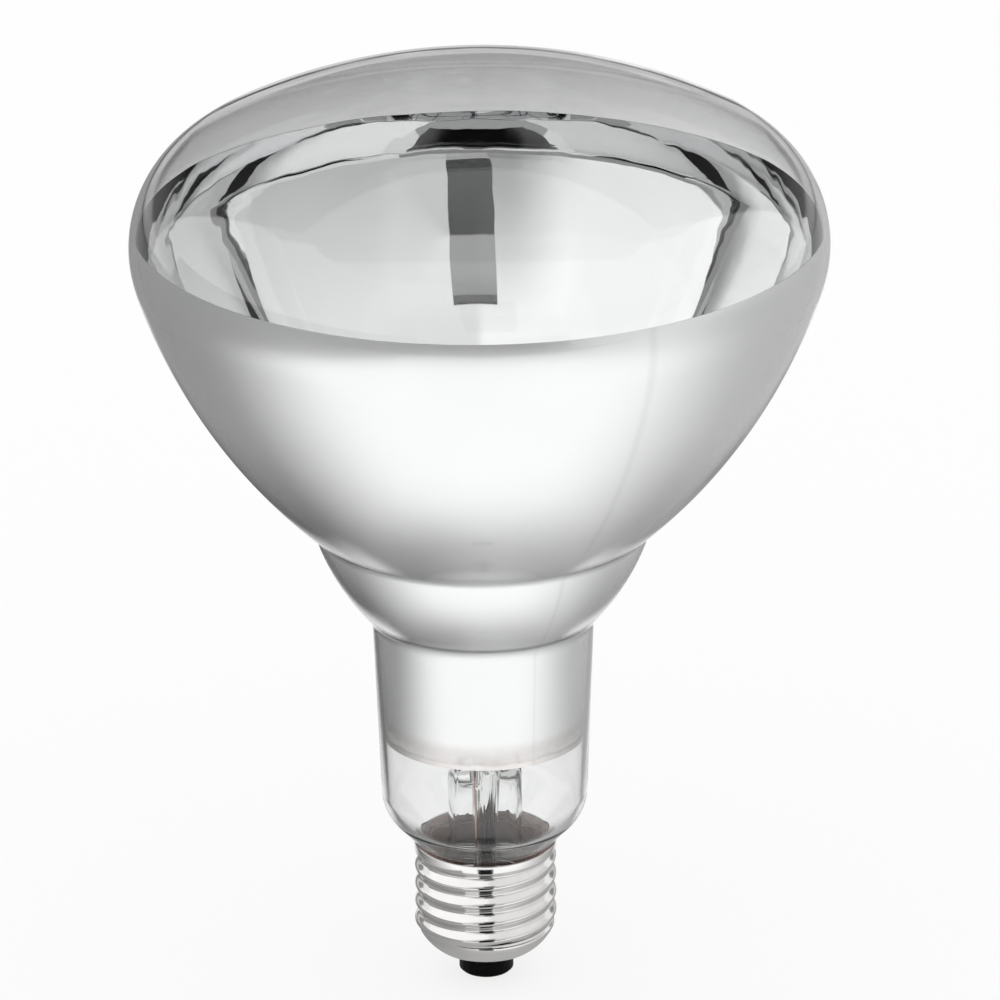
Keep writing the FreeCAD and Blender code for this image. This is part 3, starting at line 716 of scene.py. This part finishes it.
def frontLight(wire):
    x, z = along(wire, "X"), along(wire, "Z")
    blur = x.between(*front["blurSpan"]) * front["lineBlur"]
    lineLow, lineHigh = front["line"]
    upper = (z + x * x * front["lineSag"]).between(lineLow - blur, lineHigh + blur)
    shaded = x.between(*front["shadeSpan"]) * z.under(*front["shadeRise"])
    left = (front["leftTone"] + upper * front["leftLift"]) * (1 - shaded * front["shade"])
    right = front["rightTone"] + upper * front["rightLift"]
    windows = left + (right - left) * x.between(*front["split"])
    post = (x + z * front["postLeftLean"]).between(*front["postLeft"])
    post = post * (x - z * front["postRightLean"]).under(*front["postRight"])
    post = post * z.under(*front["postTop"])
    postTone = front["postFootTone"] - z.between(*front["postFoot"]) * front["postDrop"]
    postTone = postTone + upper * front["postLift"]
    postTone = postTone - z.between(*front["postFade"]) * front["postFadeDrop"]
    postTone = postTone - z.between(*front["postCap"]) * front["postCapDrop"]
    tone = windows + (postTone - windows) * post
    room = front["roomTone"] + x.between(*front["roomSpan"]) * front["roomLift"]
    table = x.between(*front["tableLeft"]) * x.under(*front["tableRight"])
    below = room + (front["tableTone"] - room) * table
    return tone + (below - tone) * z.under(*front["tableTop"])


wallCard("frontWall", front, frontLight)


# back wall: dark, a little lighter at its foot and to the sides

back = {
    "distance": 1.6,
    "headings": (40, 140),
    "steps": 40,
    "top": 2.43,
    "foot": (0.15, 0.22),
    "footTone": 0.4,
    "low": (0.3, 0.8),
    "lowTone": 0.18,
    "sides": (0.6, 1.3),
    "sideTone": 0.14,
    "cloud": 0.01,
}


def backLight(wire):
    z = along(wire, "Z")
    foot = z.under(*back["foot"]) * back["footTone"]
    low = z.under(*back["low"]) * back["lowTone"]
    side = along(wire, "X").size().between(*back["sides"]) * back["sideTone"]
    return low + foot + side + noise(wire, 1) * back["cloud"]


wallCard("backWall", back, backLight)


ceiling = {
    "xs": (-2, 2),
    "ys": (-0.2, 2.2),
    "height": 2.9,
    "tone": 0.48,
    "cloud": 0.04,
}


def ceilingLight(wire):
    return ceiling["tone"] + noise(wire, 1) * ceiling["cloud"]


flatCard("ceiling", ceiling, ceilingLight)


# two small flags beside the cap, for the dark stripe and the grey side of the thread

flags = {
    "blackEdge": [(-0.005, -0.03, 0.003), (0.005, -0.03, 0.003)],
    "blackTall": 0.021,
    "blackFootTone": 0.2,
    "blackDrop": 0.195,
    "blackSpan": (0.006, 0.012),
    "greyEdge": [(-0.018, -0.03, 0.003), (-0.028, 0.01, 0.003)],
    "greyTall": 0.015,
    "greyTone": 0.3,
    "greyCloud": 0.15,
    "greyScale": 60,
}


def blackLight(wire):
    dark = along(wire, "Z").between(*flags["blackSpan"])
    return flags["blackFootTone"] - dark * flags["blackDrop"]


def greyLight(wire):
    return flags["greyTone"] + noise(wire, flags["greyScale"], 1) * flags["greyCloud"]


card("blackFlag", flags["blackEdge"], (0, 0, flags["blackTall"]), blackLight, False)
card("greyFlag", flags["greyEdge"], (0, 0, flags["greyTall"]), greyLight, False)


# the floor as glass and metal see it: bright before the lamp, dim beside it, dark far away, with
# a painted shadow round the lamp's foot, deeper on its left

sheen = {
    "xs": (-1.6, 1.6),
    "ys": (-1.6, 1.6),
    "height": 0.0005,
    "aheadTone": 0.45,
    "aheadLift": 0.77,
    "aheadLiftSpan": (-0.4, -0.22),
    "aheadDrop": 0.3,
    "aheadDropSpan": (0.15, 0.5),
    "farTone": 0.03,
    "farSpan": (-1.15, -0.85),
    # painted shadow of the lamp on the floor: full within 2 cm of its axis, gone by 7 cm, deeper
    # on the left
    "paintedShadowSpan": (0.02, 0.07),
    "paintedShadowDepth": 0.65,
    "paintedShadowEase": 0.2,
    "paintedShadowEaseSpan": (-0.04, 0.01),
    "sideTone": 0.13,
    "rightLift": 0.23,
    "rightSpan": (-0.06, 0.06),
    "outLift": 0.2,
    "outSpan": (0.05, 0.14),
    # a pale lane behind the lamp, which shows through the glass
    "laneStart": (0.02, 0.05),
    "laneTurn": (0.2, 0.3),
    "nearLane": (0.04, 0.075),
    "nearLaneTone": 0.9,
    "farLane": (0.12, 0.18),
    "farLaneTone": 0.72,
    "farLaneLift": 0.28,
    "farLaneSpan": (0, 0.1),
    "endSpan": (0.9, 1.3),
    "endDrop": 0.7,
    "behindStart": -0.05,
    "behindFull": 0.05,
    "behindSlant": 0.6,
}


def aheadLight(wire, x, y):
    tone = sheen["aheadTone"] + x.between(*sheen["aheadLiftSpan"]) * sheen["aheadLift"]
    tone = tone - x.between(*sheen["aheadDropSpan"]) * sheen["aheadDrop"]
    tone = tone * (sheen["farTone"] + y.between(*sheen["farSpan"]) * (1 - sheen["farTone"]))
    # painted shadow round the lamp's foot: the tone drops near the axis, more on the left side
    reach = wire.node(
        "ShaderNodeVectorMath", {"operation": "LENGTH"}, {0: place(wire)}, output="Value")
    drop = sheen["paintedShadowDepth"] - x.between(*sheen["paintedShadowEaseSpan"]) * sheen["paintedShadowEase"]
    return tone * (1 - reach.under(*sheen["paintedShadowSpan"]) * drop)


def behindLight(x, y, aside):
    sides = sheen["sideTone"] + x.between(*sheen["rightSpan"]) * sheen["rightLift"]
    sides = sides + aside.between(*sheen["outSpan"]) * sheen["outLift"]
    near = aside.under(*sheen["nearLane"]) * y.under(*sheen["laneTurn"])
    wide = aside.under(*sheen["farLane"])
    farTone = sheen["farLaneTone"] + x.between(*sheen["farLaneSpan"]) * sheen["farLaneLift"]
    lane = near * sheen["nearLaneTone"] + wide * y.between(*sheen["laneTurn"]) * farTone
    lane = lane * wide * y.between(*sheen["laneStart"])
    return sides.most(lane) * (1 - y.between(*sheen["endSpan"]) * sheen["endDrop"])


def floorLight(wire):
    x, y = along(wire, "X"), along(wire, "Y")
    aside = x.size()
    ahead = aheadLight(wire, x, y)
    behind = behindLight(x, y, aside)
    start = sheen["behindStart"] - aside * sheen["behindSlant"]
    return ahead + (behind - ahead) * y.between(start, sheen["behindFull"])


flatCard("floorSheen", sheen, floorLight)


# the white floor, which keeps the lamp's shadow, under a white world

ground = {
    "size": 12,
    "tone": (0.95, 0.95, 0.95),
    "grainShare": 0.99,
    "grainScale": 3,
    "roughness": 0.9,
    "glow": 0.8,
    "worldTone": 1.0,
}
pickNothing()
bpy.ops.mesh.primitive_plane_add(size=ground["size"], location=(0, 0, 0))
floor = bpy.context.object
floor.name = "floor"
floorPaper, floorShader, floorWire = newFinish(
    "floorPaper", Roughness=ground["roughness"], Specular_IOR_Level=0.0)
grain = noise(floorWire, ground["grainScale"], 2)
dim = shade(ground["tone"], ground["grainShare"])
feed(floorWire, floorShader, "Base Color", blend(floorWire, grain, shade(ground["tone"]), dim))
cameraRay, glossyRay, throughRay = [
    floorWire.node("ShaderNodeLightPath", output=name)
    for name in ("Is Camera Ray", "Is Glossy Ray", "Is Transmission Ray")
]
seen = cameraRay.most(glossyRay).most(throughRay)
glow = floorWire.node("ShaderNodeEmission", inputs={"Color": (1, 1, 1, 1), "Strength": 1.0})
feedSurface(floorWire, floorWire.node("ShaderNodeMixShader", inputs={
    0: seen * ground["glow"],
    1: Wire(floorPaper.node_tree, floorShader.outputs[0]),
    2: glow,
}))
floor.data.materials.append(floorPaper)

world = bpy.data.worlds.new("whiteTent")
scene.world = world
world.use_nodes = True
sky = world.node_tree.nodes["Background"]
sky.inputs["Color"].default_value = (1, 1, 1, 1)
sky.inputs["Strength"].default_value = ground["worldTone"]
print("stage set")


# camera at the photograph's angle

view = {
    "distance": 1.136,
    "elevation": 22.7,
    "target": 0.09523,
    "lens": 225.7,
    "sensor": 36,
    "shift": 0.018,
    "roll": -0.55,
    "farthest": 50,
}
pickNothing()
rise = math.radians(view["elevation"])
away, up = view["distance"] * math.cos(rise), view["distance"] * math.sin(rise)
bpy.ops.object.camera_add(
    location=(0, -away, view["target"] + up), rotation=(math.pi / 2 - rise, 0, 0))
camera = bpy.context.object
roll = Matrix.Rotation(math.radians(view["roll"]), 4, "Z")
camera.matrix_world = camera.matrix_world @ roll
camera.data.lens = view["lens"]
camera.data.sensor_width = view["sensor"]
camera.data.shift_x = view["shift"]
camera.data.clip_end = view["farthest"]
scene.camera = camera
print("camera placed")
